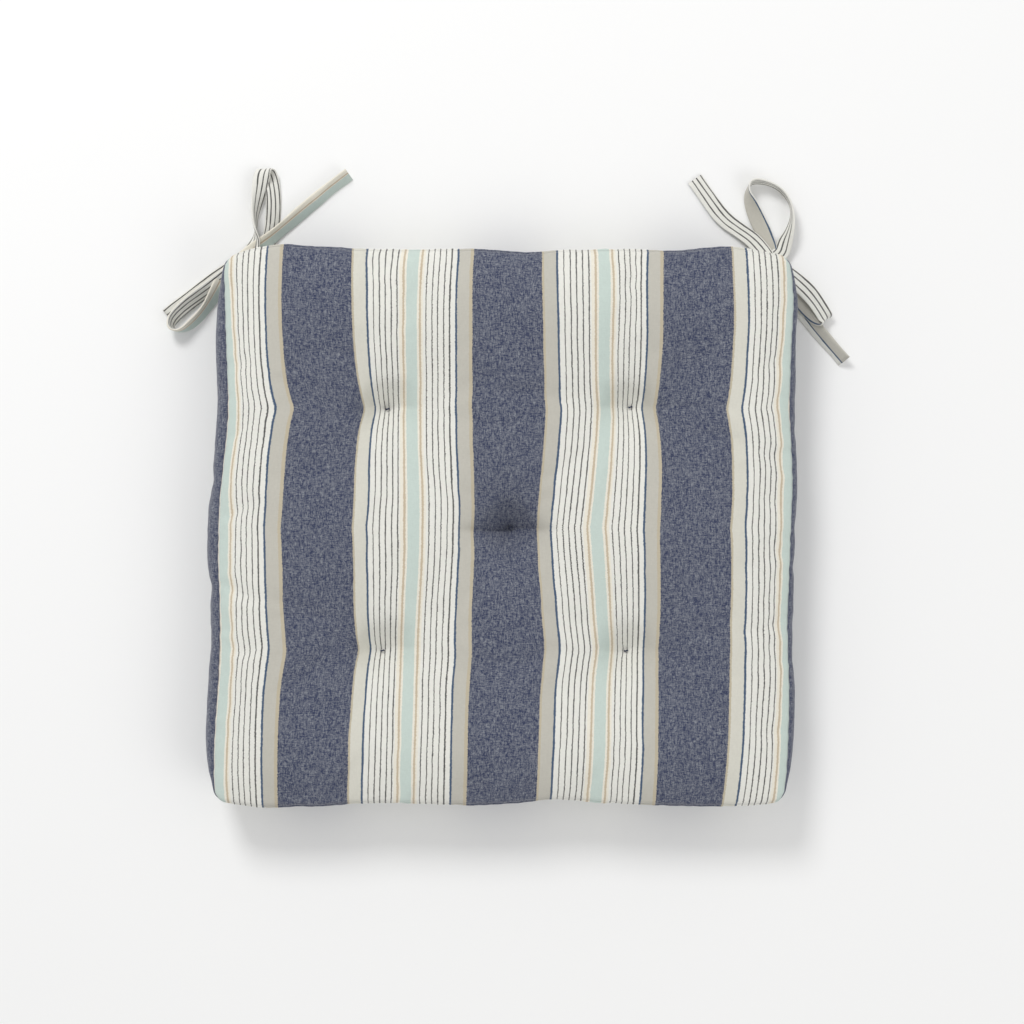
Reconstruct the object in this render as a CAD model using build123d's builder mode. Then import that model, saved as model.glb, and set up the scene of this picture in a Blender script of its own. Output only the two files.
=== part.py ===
from build123d import *
import math
import os

# Tufted box cushion for a chair seat, with a bow of two fabric ties under each back corner.
# Millimetres. +Z up, +Y to the back of the chair, origin at the middle of the flat underside.

os.makedirs("parts", exist_ok=True)

# ---- driving dimensions -------------------------------------------------------------
PAD_W = 400.0            # across the seat, X
PAD_D = 380.0            # front to back, Y
CORNER_R = 20.0          # rounding of the four corners in plan
CREST_Z = 55.0           # highest point of the crown
SEAM_TOP_Z = 43.0        # seam between the top panel and the boxing
SEAM_BOTTOM_Z = 12.0     # seam between the boxing and the bottom panel
CLOTH_T = 1.0            # woven cotton cover
FILL_GAP = 0.3           # filling stands this far inside the cover

# crown: how far in from the outline, and at what height, each level of the cover lies
CROWN = ((0.0, SEAM_TOP_Z), (10.0, 48.5), (26.0, 52.5), (55.0, CREST_Z))
BELLY = ((0.0, SEAM_BOTTOM_Z), (18.0, 8.6), (34.0, 4.0), (50.0, 0.0))

# five tufts, set as on a die
TUFTS = ((-78.0, 81.0), (87.0, 81.5), (7.0, 0.0), (-81.0, -83.0), (86.0, -84.0))
TUFT_R = 34.0            # reach of a dimple on the top
TUFT_DEPTH = 24.0        # depth of a dimple on the top
UNDER_R = 26.0           # the same, on the underside
UNDER_DEPTH = 9.0
THREAD_D = 1.4           # twine of a tuft
STITCH_W = 7.0           # length of the stitch that shows in each dimple
HOLE_D = 2.0             # needle holes that the twine goes through

# ties: a flat folded strip of the same cotton, four in all, two at each back corner
TIE_W = 11.0
TIE_T = 1.4
TIE_GAP = 0.25           # room between the two ties of one knot
KNOT_R, KNOT_LOW, KNOT_TOP = 9.0, 0.5, 8.7
CORE_Z = 3.2             # height at which the first tie goes through the knot
OVER_Z = 6.3             # and the second
GROUND = 0.4             # the lowest strip stands this far off the ground
HINGE_LEN = 22.0         # from the sewn ends, where a bow turns, to the middle of its knot
ROOT_Z = (1.6, 3.3)      # height of each sewn end, one on the other
# each bow: its knot, the direction of its sewn ends, and its loops as (direction in degrees, length,
# height of the lower strip, height of the whole loop) and tails as (direction, length)
BOWS = {
    "left": dict(knot=(-178.0, 180.0), root=-45.0, loop_1=(77.0, 67.0, GROUND, 7.8), tail_1=(212.0, 62.0),
                 loop_2=(229.0, 60.0, 2.3, 6.2), tail_2=(38.0, 92.0)),
    "right": dict(knot=(180.0, 180.0), root=-135.0, loop_1=(96.0, 57.0, GROUND, 7.8), tail_1=(311.5, 86.0),
                  loop_2=(322.0, 56.0, 2.3, 6.2), tail_2=(129.0, 78.0)),
}


# ---- the pad's rounded-square body, and the same body set in by the cover's thickness ----
def pad_body(inset):
    levels = [(d + inset, z + inset * (0.9 if d > 0 else 0.0)) for d, z in reversed(BELLY)]
    levels[0] = (BELLY[-1][0] + inset, BELLY[-1][1] + inset)
    upper = [(d + inset, z - inset * (0.9 if d > 0 else 0.0)) for d, z in CROWN]
    upper[-1] = (CROWN[-1][0] + inset, CROWN[-1][1] - inset)
    with BuildPart() as body:
        for d, z in levels + upper:
            with BuildSketch(Plane.XY.offset(z)):
                RectangleRounded(PAD_W - 2 * d, PAD_D - 2 * d, max(CORNER_R - inset, 2.0))
        loft(ruled=True)
        # dimples: each a shallow bell turned about its tuft
        for x, y in TUFTS:
            top_axis = Plane(origin=(x, y, 0), x_dir=(1, 0, 0), z_dir=(0, -1, 0))
            zt = CREST_Z - inset
            with BuildSketch(top_axis):
                with BuildLine():
                    foot = (0, zt - TUFT_DEPTH)
                    near = (6.0 + inset * 0.5, zt - TUFT_DEPTH)
                    rim = (TUFT_R + inset * 0.5, zt + 0.8)
                    Line(foot, near)
                    Spline(near, ((near[0] + rim[0]) / 2 - 4.0, zt - TUFT_DEPTH * 0.42), rim,
                           tangents=((1, 0.35), (1, 0.12)))
                    Polyline(rim, (rim[0], zt + 6), (0, zt + 6), foot)
                make_face()
            revolve(axis=Axis((x, y, 0), (0, 0, 1)), mode=Mode.SUBTRACT)
            with BuildSketch(top_axis):
                with BuildLine():
                    foot = (0, inset + UNDER_DEPTH)
                    near = (6.0 + inset * 0.5, inset + UNDER_DEPTH)
                    rim = (UNDER_R + inset * 0.5, inset - 0.6)
                    Line(foot, near)
                    Spline(near, ((near[0] + rim[0]) / 2 - 2.0, inset + UNDER_DEPTH * 0.42), rim,
                           tangents=((1, -0.2), (1, -0.1)))
                    Polyline(rim, (rim[0], inset - 6), (0, inset - 6), foot)
                make_face()
            revolve(axis=Axis((x, y, 0), (0, 0, 1)), mode=Mode.SUBTRACT)
    return body.part


outer = pad_body(0.0)
inner = pad_body(CLOTH_T)
stuffing = pad_body(CLOTH_T + FILL_GAP)

# needle holes, two at each tuft
with BuildPart() as needle_holes:
    with Locations(*[(x + s * STITCH_W / 2, y, CREST_Z / 2) for x, y in TUFTS for s in (-1, 1)]):
        Cylinder(HOLE_D / 2, CREST_Z + 20)

with BuildPart() as cover:
    add(outer)
    add(inner, mode=Mode.SUBTRACT)
    add(needle_holes.part, mode=Mode.SUBTRACT)

# ---- the cover's panels, parted at the two seams ---------------------------------------
with BuildPart() as top_panel:
    add(cover.part)
    with BuildSketch(Plane.XY.offset(SEAM_TOP_Z)):
        Rectangle(PAD_W + 40, PAD_D + 40)
    extrude(amount=40, mode=Mode.INTERSECT)

with BuildPart() as bottom_panel:
    add(cover.part)
    with BuildSketch(Plane.XY.offset(SEAM_BOTTOM_Z)):
        Rectangle(PAD_W + 40, PAD_D + 40)
    extrude(amount=-40, mode=Mode.INTERSECT)

# ---- boxing: four strips that meet in the corner seams ---------------------------------
HALF_W, HALF_D = PAD_W / 2, PAD_D / 2
CUT_IN = 60.0
STRIPS = {
    "boxing_front": ((-HALF_W, -HALF_D), (HALF_W, -HALF_D)),
    "boxing_back": ((HALF_W, HALF_D), (-HALF_W, HALF_D)),
    "boxing_left": ((-HALF_W, HALF_D), (-HALF_W, -HALF_D)),
    "boxing_right": ((HALF_W, -HALF_D), (HALF_W, HALF_D)),
}
boxing = {}
for strip_name, (a, b) in STRIPS.items():
    out_a = (a[0] * 1.2, a[1] + math.copysign(HALF_W * 0.2, a[1]))
    out_b = (b[0] * 1.2, b[1] + math.copysign(HALF_W * 0.2, b[1]))
    in_a = (a[0] - math.copysign(CUT_IN, a[0]), a[1] - math.copysign(CUT_IN, a[1]))
    in_b = (b[0] - math.copysign(CUT_IN, b[0]), b[1] - math.copysign(CUT_IN, b[1]))
    with BuildPart() as strip:
        add(cover.part)
        with BuildSketch(Plane.XY.offset(SEAM_BOTTOM_Z)):
            with BuildLine():
                Polyline(out_a, out_b, in_b, in_a, close=True)
            make_face()
        extrude(amount=SEAM_TOP_Z - SEAM_BOTTOM_Z, mode=Mode.INTERSECT)
    boxing[strip_name] = strip

# ---- filling --------------------------------------------------------------------------
with BuildPart() as fibre_filling:
    add(stuffing)
    add(needle_holes.part, mode=Mode.SUBTRACT)

# ---- tuft twines: one closed loop of twine at each tuft, pulled down into both dimples ---
twine_low = UNDER_DEPTH - THREAD_D / 2 - 0.15
twine_high = CREST_Z - TUFT_DEPTH + THREAD_D / 2 + 0.15
with BuildPart() as tuft_twines:
    for x, y in TUFTS:
        side = Plane(origin=(x, y, 0), x_dir=(1, 0, 0), z_dir=(0, -1, 0))
        with BuildLine(side) as twine_path:
            Polyline((-STITCH_W / 2, twine_low), (STITCH_W / 2, twine_low), (STITCH_W / 2, twine_high),
                     (-STITCH_W / 2, twine_high), close=True)
            fillet(twine_path.vertices(), radius=1.2)
        path = twine_path.wires()[0]
        with BuildSketch(Plane(origin=path @ 0, z_dir=path % 0)):
            Circle(THREAD_D / 2)
        sweep(path=path)


# ---- ties -----------------------------------------------------------------------------
def upright(origin, angle):
    """A standing plane through origin: X runs outward at this angle, Y is up."""
    a = math.radians(angle)
    return Plane(origin=(origin[0], origin[1], 0), x_dir=(math.cos(a), math.sin(a), 0),
                 z_dir=(math.sin(a), -math.cos(a), 0))


def loop_strip(knot, z_knot, angle, length, base, height, grow):
    """A loop of flat strip: out from the knot, folded over at its tip, and back into the knot."""
    low = base + TIE_T / 2
    high = base + height - TIE_T / 2
    mid = (low + high) / 2
    tip = length - TIE_T / 2
    r = (high - low) / 2 - 0.02
    with BuildPart() as strip:
        with BuildSketch(upright(knot, angle)):
            with BuildLine():
                FilletPolyline((0, z_knot), (7, z_knot), (20, low), (tip, low), (tip, mid), radius=[4, 8, r])
            trace(line_width=TIE_T + 2 * grow)
            with BuildLine():
                FilletPolyline((0, z_knot + 0.5), (7, z_knot + 0.5), (20, high), (tip, high), (tip, mid),
                               radius=[4, 8, r])
            trace(line_width=TIE_T + 2 * grow)
        extrude(amount=TIE_W / 2 + grow, both=True)
    return strip.part


def tail_strip(knot, z_knot, angle, length, grow):
    """A free end of flat strip, from the knot down to the ground and along it."""
    low = GROUND + TIE_T / 2
    with BuildPart() as strip:
        with BuildSketch(upright(knot, angle)):
            with BuildLine():
                FilletPolyline((0, z_knot), (8, z_knot), (22, low), (length, low), radius=[8, 8])
            trace(line_width=TIE_T + 2 * grow)
        extrude(amount=TIE_W / 2 + grow, both=True)
    return strip.part


def root_strip(knot, z_knot, angle, z_sewn, grow):
    """From the sewn end, at the line the bow turns on, to the knot."""
    with BuildPart() as strip:
        with BuildSketch(upright(knot, angle)):
            with BuildLine():
                FilletPolyline((0, z_knot), (7, z_knot), (16, z_sewn), (HINGE_LEN, z_sewn), radius=[5, 5])
            trace(line_width=TIE_T + 2 * grow)
        extrude(amount=TIE_W / 2 + grow, both=True)
    return strip.part


def first_tie(bow, grow):
    with BuildPart() as tie:
        add(loop_strip(bow["knot"], CORE_Z, *bow["loop_1"], grow))
        add(tail_strip(bow["knot"], CORE_Z, *bow["tail_1"], grow))
        add(root_strip(bow["knot"], CORE_Z, bow["root"], ROOT_Z[0], grow))
    return tie


def second_tie(bow):
    """The tie that is wrapped round the first one, and so makes the knot."""
    with BuildPart() as tie:
        with BuildSketch(Plane(origin=(*bow["knot"], KNOT_LOW))):
            Circle(KNOT_R)
        extrude(amount=KNOT_TOP - KNOT_LOW)
        fillet(tie.edges().filter_by(GeomType.CIRCLE), radius=2.4)
        add(loop_strip(bow["knot"], OVER_Z, *bow["loop_2"], 0.0))
        add(tail_strip(bow["knot"], OVER_Z, *bow["tail_2"], 0.0))
        add(root_strip(bow["knot"], OVER_Z - 0.6, bow["root"], ROOT_Z[1], 0.0))
        add(first_tie(bow, TIE_GAP).part, mode=Mode.SUBTRACT)
    return tie


ties = {}
for side_name, bow in BOWS.items():
    ties[f"tie_{side_name}_under"] = first_tie(bow, 0.0)
    ties[f"tie_{side_name}_over"] = second_tie(bow)
for tie_name, tie in ties.items():
    print(tie_name, "volume", round(tie.part.volume), "solids", len(tie.part.solids()))

# ---- labels and files -----------------------------------------------------------------
top_panel.part.label = "top_panel"
export_step(top_panel.part, "parts/top_panel.step")
bottom_panel.part.label = "bottom_panel"
export_step(bottom_panel.part, "parts/bottom_panel.step")
for strip_name, strip in boxing.items():
    strip.part.label = strip_name
    export_step(strip.part, f"parts/{strip_name}.step")
fibre_filling.part.label = "fibre_filling"
export_step(fibre_filling.part, "parts/fibre_filling.step")
tuft_twines.part.label = "tuft_twines"
export_step(tuft_twines.part, "parts/tuft_twines.step")
for tie_name, tie in ties.items():
    tie.part.label = tie_name
    export_step(tie.part, f"parts/{tie_name}.step")
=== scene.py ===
import bpy, bmesh, math
import numpy as np
from mathutils import Matrix, Vector


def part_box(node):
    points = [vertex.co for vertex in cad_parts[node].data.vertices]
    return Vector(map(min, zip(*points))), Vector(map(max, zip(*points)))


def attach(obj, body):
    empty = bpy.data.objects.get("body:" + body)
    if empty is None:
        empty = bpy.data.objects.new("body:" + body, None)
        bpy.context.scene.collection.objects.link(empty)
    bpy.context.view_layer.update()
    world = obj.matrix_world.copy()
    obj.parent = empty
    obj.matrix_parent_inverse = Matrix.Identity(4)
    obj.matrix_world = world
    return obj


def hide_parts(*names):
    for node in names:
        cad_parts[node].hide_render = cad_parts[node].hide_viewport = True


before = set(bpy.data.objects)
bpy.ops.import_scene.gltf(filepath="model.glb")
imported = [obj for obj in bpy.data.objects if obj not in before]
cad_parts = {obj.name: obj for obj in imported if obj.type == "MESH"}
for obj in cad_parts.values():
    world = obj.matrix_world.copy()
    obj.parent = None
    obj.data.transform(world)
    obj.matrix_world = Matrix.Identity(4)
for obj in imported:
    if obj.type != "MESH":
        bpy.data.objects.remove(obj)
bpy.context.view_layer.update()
NODE_BOX = {n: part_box(n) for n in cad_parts}

scene = bpy.context.scene
MM = 0.001


# ------------------------------------------------------------------ small helpers
def link(ob):
    scene.collection.objects.link(ob)
    return ob


def add_mesh(name, verts, faces, uvs=None, smooth=True):
    me = bpy.data.meshes.new(name)
    me.from_pydata([tuple(v) for v in verts], [], [tuple(int(i) for i in f) for f in faces])
    if uvs is not None:
        layer = me.uv_layers.new(name="fabric")
        layer.data.foreach_set("uv", np.asarray(uvs, dtype=np.float32).ravel())
    me.update()
    if smooth:
        me.polygons.foreach_set("use_smooth", [True] * len(me.polygons))
    return link(bpy.data.objects.new(name, me))


def active(ob):
    bpy.ops.object.select_all(action="DESELECT")
    ob.select_set(True)
    bpy.context.view_layer.objects.active = ob


def coords(me):
    c = np.empty(len(me.vertices) * 3)
    me.vertices.foreach_get("co", c)
    return c.reshape(-1, 3)


# ------------------------------------------------------------------ camera
cam = bpy.data.cameras.new("camera")
cam.lens = 85
cam.sensor_width = 36
cam_ob = link(bpy.data.objects.new("camera", cam))
target = Vector((0.0074, 0.0105, 0.027))
away = Vector((math.tan(math.radians(-1.6)), math.tan(math.radians(0.5)), 1.0)).normalized() * 1.6316
cam_ob.location = target + away
cam_ob.rotation_mode = "QUATERNION"
back = away.normalized()
up = (Vector((0, 1, 0)) - back * back.y).normalized()
cam_ob.rotation_quaternion = Matrix((up.cross(back), up, back)).transposed().to_quaternion()
scene.camera = cam_ob


# ------------------------------------------------------------------ materials
def srgb(r, g, b):
    def f(c):
        c /= 255.0
        return c / 12.92 if c <= 0.04045 else ((c + 0.055) / 1.055) ** 2.4
    return (f(r), f(g), f(b), 1.0)


WHITE = srgb(230, 229, 222)
CREAM = srgb(232, 227, 213)
TAN = srgb(198, 183, 160)
GREY = srgb(192, 189, 179)
PALE = srgb(213, 211, 200)
MINT = srgb(198, 211, 204)
BLUE = srgb(74, 92, 116)
LINE = srgb(90, 89, 88)
NAVY = srgb(94, 98, 116)
TAN_EDGE = srgb(190, 180, 158)


class Net:
    """Builds a material's nodes."""

    def __init__(self, name):
        self.mat = bpy.data.materials.new(name)
        self.mat.use_nodes = True
        self.nt = self.mat.node_tree
        self.nt.nodes.clear()
        self.out = self.nt.nodes.new("ShaderNodeOutputMaterial")
        self.bsdf = self.nt.nodes.new("ShaderNodeBsdfPrincipled")
        self.nt.links.new(self.bsdf.outputs["BSDF"], self.out.inputs["Surface"])

    def node(self, kind, **props):
        n = self.nt.nodes.new(kind)
        for k, v in props.items():
            setattr(n, k, v)
        return n

    def put(self, value, socket):
        if isinstance(value, bpy.types.NodeSocket):
            self.nt.links.new(value, socket)
        else:
            socket.default_value = value

    def math(self, op, a, b=0.0, c=None, clamp=False):
        n = self.node("ShaderNodeMath", operation=op, use_clamp=clamp)
        self.put(a, n.inputs[0])
        self.put(b, n.inputs[1])
        if c is not None:
            self.put(c, n.inputs[2])
        return n.outputs[0]

    def combine(self, x, y, z=0.0):
        n = self.node("ShaderNodeCombineXYZ")
        for v, s in zip((x, y, z), n.inputs):
            self.put(v, s)
        return n.outputs[0]

    def noise(self, vector, scale, detail=2.0, rough=0.5):
        n = self.node("ShaderNodeTexNoise")
        self.put(vector, n.inputs["Vector"])
        n.inputs["Scale"].default_value = scale
        n.inputs["Detail"].default_value = detail
        n.inputs["Roughness"].default_value = rough
        return n.outputs["Fac"]

    def mix(self, fac, a, b, blend="MIX"):
        n = self.node("ShaderNodeMix", data_type="RGBA", blend_type=blend)
        self.put(fac, n.inputs["Factor"])
        self.put(a, n.inputs[6])
        self.put(b, n.inputs[7])
        return n.outputs[2]

    def ramp(self, fac, stops, interpolation="CONSTANT"):
        n = self.node("ShaderNodeValToRGB")
        n.color_ramp.interpolation = interpolation
        el = n.color_ramp.elements
        while len(el) > 1:
            el.remove(el[-1])
        el[0].position, el[0].color = stops[0]
        for pos, col in stops[1:]:
            e = el.new(pos)
            e.color = col
        self.put(fac, n.inputs["Fac"])
        return n.outputs["Color"]


def cloth_surface(net, u, v, colour, contrast, sheen=0.25, depth=0.00022, chambray=None):
    """The weave over a colour: slubby warp and weft yarns, the crossings' relief, and matt roughness.
    u runs across the warp and v along it, both in metres."""
    warp = net.noise(net.combine(net.math("MULTIPLY", u, 1150.0), net.math("MULTIPLY", v, 300.0), 1.7), 1.0, 2.0, 0.6)
    weft = net.noise(net.combine(net.math("MULTIPLY", u, 300.0), net.math("MULTIPLY", v, 1150.0), 5.1), 1.0, 2.0, 0.6)
    fine = net.noise(net.combine(net.math("MULTIPLY", u, 1500.0), net.math("MULTIPLY", v, 1500.0), 9.4), 1.0, 1.0, 0.5)
    broad = net.noise(net.combine(u, v, 0.4), 26.0, 3.0, 0.55)
    both = net.math("ADD", net.math("MULTIPLY", warp, 0.5), net.math("MULTIPLY", weft, 0.5))
    yarn = net.math("SUBTRACT", both, 0.5)
    shade = net.math("MULTIPLY_ADD", yarn, contrast, 1.0)
    shade = net.math("ADD", shade, net.math("MULTIPLY", net.math("SUBTRACT", broad, 0.5), 0.06))
    grey = net.combine(shade, shade, shade)
    if chambray is not None:
        # dark warp, pale weft: either shows through in short flecks
        fleck = net.math("ADD", net.math("MULTIPLY", warp, 0.37), net.math("ADD", net.math("MULTIPLY", weft, 0.31), net.math("MULTIPLY", fine, 0.32)))
        f = net.math("MULTIPLY_ADD", net.math("SUBTRACT", fleck, 0.5), 2.9, 0.235, clamp=True)
        flecked = net.mix(f, srgb(54, 61, 88), srgb(161, 164, 168))
        colour = net.mix(chambray, colour, flecked) if isinstance(chambray, bpy.types.NodeSocket) else flecked
    col = net.mix(1.0, colour, grey, "MULTIPLY")
    # crossings: yarns 0.55 mm apart
    a = net.math("SINE", net.math("MULTIPLY", u, 2 * math.pi / 0.00055))
    b = net.math("SINE", net.math("MULTIPLY", v, 2 * math.pi / 0.00055))
    weave = net.math("MULTIPLY", a, b)
    height = net.math("ADD", net.math("MULTIPLY", weave, 0.22), net.math("MULTIPLY", yarn, 1.1))
    bump = net.node("ShaderNodeBump")
    bump.inputs["Strength"].default_value = 0.55
    bump.inputs["Distance"].default_value = depth
    net.put(height, bump.inputs["Height"])
    net.put(bump.outputs["Normal"], net.bsdf.inputs["Normal"])
    net.put(col, net.bsdf.inputs["Base Color"])
    rough = net.math("MULTIPLY_ADD", yarn, -0.12, 0.92)
    net.put(rough, net.bsdf.inputs["Roughness"])
    net.bsdf.inputs["Specular IOR Level"].default_value = 0.15
    net.bsdf.inputs["Sheen Weight"].default_value = sheen
    net.bsdf.inputs["Sheen Roughness"].default_value = 0.5
    return col


def uv_axes(net):
    uvm = net.node("ShaderNodeUVMap", uv_map="fabric")
    sep = net.node("ShaderNodeSeparateXYZ")
    net.nt.links.new(uvm.outputs["UV"], sep.inputs[0])
    return sep.outputs[0], sep.outputs[1]


UNIT = 0.000676      # one stripe unit in metres
REPEAT = 191.0       # units in one repeat of the stripes
PHASE = 352.1 - 501.0  # where a repeat starts, from the middle of the pad

LINE_W = 1.12


def line_stops(centres, ground, width=LINE_W, colour=LINE):
    out = []
    for c in centres:
        out += [(c - width / 2, colour), (c + width / 2, ground)]
    return out


# one repeat of the stripes, starting at the right-hand edge of a navy band
HALF_A = [(0.0, TAN_EDGE), (1.9, GREY), (13.8, BLUE), (15.9, WHITE)] \
    + line_stops((21.2, 27.4, 33.3, 39.3, 45.3), WHITE) \
    + [(47.5, CREAM), (50.4, TAN), (52.6, CREAM), (54.5, MINT)]
HALF_B = [(60.0, MINT), (65.9, CREAM), (67.9, TAN), (70.0, CREAM), (72.0, WHITE)] \
    + line_stops((75.2, 81.1, 87.0, 93.0, 98.9), WHITE) \
    + [(104.3, BLUE), (106.4, GREY), (118.3, TAN_EDGE), (121.6, NAVY)]


def striped_material():
    net = Net("striped_cotton")
    u, v = uv_axes(net)
    wob = net.noise(net.combine(net.math("MULTIPLY", u, 900.0), net.math("MULTIPLY", v, 55.0), 3.3), 1.0, 2.0, 0.5)
    wob = net.math("MULTIPLY", net.math("SUBTRACT", wob, 0.5), 0.7)
    pick = net.noise(net.combine(net.math("MULTIPLY", u, 500.0), net.math("MULTIPLY", v, 1900.0), 8.2), 1.0, 1.0, 0.5)
    wob = net.math("ADD", wob, net.math("MULTIPLY", net.math("SUBTRACT", pick, 0.5), 1.9))
    units = net.math("DIVIDE", u, UNIT)
    p = net.math("SUBTRACT", units, PHASE)
    p = net.math("ADD", p, wob)
    p = net.math("DIVIDE", p, REPEAT)
    p = net.math("FRACT", net.math("ADD", p, 8.0))
    p = net.math("MULTIPLY", p, REPEAT)
    first = net.math("DIVIDE", p, 60.0)
    second = net.math("DIVIDE", net.math("SUBTRACT", p, 60.0), 131.0)
    ra = net.ramp(first, [(s / 60.0, c) for s, c in HALF_A])
    rb = net.ramp(second, [((s - 60.0) / 131.0, c) for s, c in HALF_B])
    side = net.math("GREATER_THAN", p, 60.0)
    col = net.mix(side, ra, rb)
    # the band to the right of the outer navy stripes is paler than the others
    away = net.math("GREATER_THAN", net.math("ABSOLUTE", net.math("SUBTRACT", u, 0.033)), 0.055)
    band = net.math("MULTIPLY", net.math("GREATER_THAN", p, 1.9), net.math("LESS_THAN", p, 13.8))
    col = net.mix(net.math("MULTIPLY", away, band), col, PALE)
    # navy is a chambray with pale crossing yarns, so its contrast is stronger
    navy = net.math("GREATER_THAN", p, 121.6)
    cloth_surface(net, u, v, col, 0.22, chambray=navy)
    return net.mat


def navy_material():
    net = Net("navy_cotton")
    u, v = uv_axes(net)
    cloth_surface(net, u, v, srgb(84, 90, 110), 0.3, chambray=1.0)
    return net.mat


def tie_material(name, face_1, face_2, drift=0.0):
    """u runs across the strip: 0 to 11 mm on the first face, 20 to 31 mm on the second. Stops are in mm."""
    net = Net(name)
    u, v = uv_axes(net)
    wob = net.noise(net.combine(net.math("MULTIPLY", u, 900.0), net.math("MULTIPLY", v, 70.0), 7.3), 1.0, 2.0, 0.5)
    wob = net.math("MULTIPLY", net.math("SUBTRACT", wob, 0.5), 0.0009)
    uu = net.math("ADD", u, wob)
    one = net.ramp(net.math("DIVIDE", uu, 0.011), [(s / 11.0, c) for s, c in face_1])
    # the strip was folded a little askew, so the second face's stripes drift over its first 0.2 m
    askew = net.math("MULTIPLY", net.math("DIVIDE", net.math("SUBTRACT", 0.200, v), 0.13, clamp=True), drift)
    two = net.ramp(net.math("DIVIDE", net.math("SUBTRACT", net.math("SUBTRACT", uu, 0.020), askew), 0.011), [(s / 11.0, c) for s, c in face_2])
    col = net.mix(net.math("GREATER_THAN", u, 0.0155), one, two)
    cloth_surface(net, u, v, col, 0.22, depth=0.00016)
    return net.mat


def lined(*centres):
    s = [(0.0, WHITE)]
    for c in centres:
        s += [(c - 0.42, LINE), (c + 0.42, WHITE)]
    return s


MAT_STRIPE = striped_material()
MAT_NAVY = navy_material()
MAT_TIE = {
    "tie_left_under": tie_material("tie_cotton_lines", lined(1.2, 4.4, 7.6, 10.3), lined(1.0, 4.2, 7.8)),
    "tie_left_over": tie_material("tie_cotton_mint", lined(1.6, 4.6, 7.9, 10.4),
                                  [(0.0, CREAM), (3.1, TAN), (4.0, CREAM), (4.6, MINT)]),
    "tie_right_under": tie_material("tie_cotton_beige", lined(1.6, 4.8, 8.0),
                                    [(0.0, GREY), (6.3, BLUE), (7.3, WHITE)], drift=0.0034),
    "tie_right_over": tie_material("tie_cotton_lines_beige", lined(0.9, 4.2, 7.8),
                                   [(0.0, GREY), (9.6, BLUE), (10.6, GREY)]),
}


def plain_material(name, colour, rough, scale, contrast, bump_depth=0.0002):
    net = Net(name)
    pos = net.node("ShaderNodeTexCoord").outputs["Object"]
    f = net.noise(pos, scale, 4.0, 0.6)
    shade = net.math("MULTIPLY_ADD", net.math("SUBTRACT", f, 0.5), contrast, 1.0)
    col = net.mix(1.0, colour, net.combine(shade, shade, shade), "MULTIPLY")
    net.put(col, net.bsdf.inputs["Base Color"])
    net.bsdf.inputs["Roughness"].default_value = rough
    net.bsdf.inputs["Specular IOR Level"].default_value = 0.2
    bump = net.node("ShaderNodeBump")
    bump.inputs["Strength"].default_value = 0.6
    bump.inputs["Distance"].default_value = bump_depth
    net.put(f, bump.inputs["Height"])
    net.put(bump.outputs["Normal"], net.bsdf.inputs["Normal"])
    return net.mat


MAT_TWINE = plain_material("navy_twine", srgb(52, 58, 78), 0.8, 1800.0, 0.8)
MAT_FIBRE = plain_material("polyester_fibre", srgb(238, 238, 234), 0.95, 700.0, 0.3, 0.001)

# ------------------------------------------------------------------ the cushion cover
W0, D0 = 0.396, 0.374
NU, NV, NB = 96, 92, 8
ZB, ZT = 0.010, 0.047
ROUND = 0.009
TUFTS = [(-0.07741, 0.08044), (0.08683, 0.08127), (0.00661, 0.0001), (-0.08084, -0.08225), (0.08555, -0.08391)]
TOP_PIN, UNDER_PIN = 0.025, 0.010


def rounded(x, y):
    """The square grid drawn into a panel with round corners."""
    a, b = W0 / 2 - ROUND, D0 / 2 - ROUND
    u, v = (abs(x) - a) / ROUND, (abs(y) - b) / ROUND
    if u > 0 and v > 0:
        x = math.copysign(a + ROUND * u * math.sqrt(1 - v * v / 2), x)
        y = math.copysign(b + ROUND * v * math.sqrt(1 - u * u / 2), y)
    return x, y


GX = np.array([[rounded(-W0 / 2 + W0 * i / NU, -D0 / 2 + D0 * j / NV)[0] for j in range(NV + 1)] for i in range(NU + 1)])
GY = np.array([[rounded(-W0 / 2 + W0 * i / NU, -D0 / 2 + D0 * j / NV)[1] for j in range(NV + 1)] for i in range(NU + 1)])


def run_of(xs, ys):
    """Length along an edge of the panel, from its middle."""
    step = np.hypot(np.diff(xs), np.diff(ys))
    r = np.concatenate([[0], np.cumsum(step)])
    return r - r[-1] / 2


RUN_FRONT, RUN_SIDE = run_of(GX[:, 0], GY[:, 0]), run_of(GX[0], GY[0])


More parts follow.
